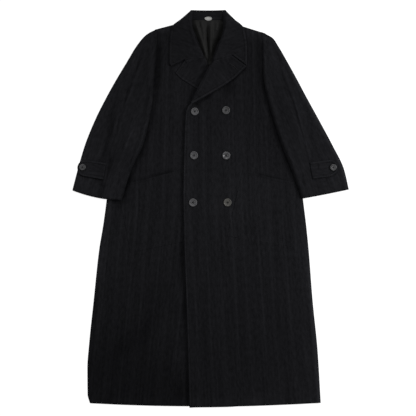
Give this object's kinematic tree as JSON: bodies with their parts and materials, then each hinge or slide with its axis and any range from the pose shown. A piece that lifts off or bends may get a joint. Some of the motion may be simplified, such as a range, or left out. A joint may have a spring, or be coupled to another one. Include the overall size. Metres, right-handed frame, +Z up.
{
  "type": "wool coat laid flat",
  "caption": "Long black double-breasted wool overcoat laid flat on its back, with wide collar and lapels, set-in sleeves with buttoned cuff tabs and tilted patch pockets.",
  "frame": {"origin": "middle of the coat's outline on the surface it lies on", "axes": "+Y from hem to collar, +X to the wearer's left (viewer's right), +Z up out of the surface, fronts facing up"},
  "size_m": [0.8996, 1.2926, 0.0314],
  "materials": {
    "wool": "black napped wool coating with a soft tonal stripe, matt",
    "lining": "dark olive-grey satin, soft sheen",
    "label": "plain off-white woven tape",
    "button": "dark grey horn-like, satin"
  },
  "bodies": {
    "root": {"back": "wool", "front_left": "wool", "front_right": "wool", "lapel_left": "wool", "lapel_right": "wool", "collar_leaf_left": "wool", "collar_leaf_right": "wool", "collar_under": "wool", "collar_stand": "wool", "sleeve_top_left": "wool", "sleeve_top_right": "wool", "sleeve_under_left": "wool", "sleeve_under_right": "wool", "cuff_tab_left": "wool", "cuff_tab_right": "wool", "pocket_left": "wool", "pocket_right": "wool", "lining_back": "lining", "neck_label": "label", "button_front_1": "button", "button_front_2": "button", "button_front_3": "button", "button_front_4": "button", "button_front_5": "button", "button_front_6": "button", "button_cuff_left": "button", "button_cuff_right": "button"}
  },
  "joints": []
}
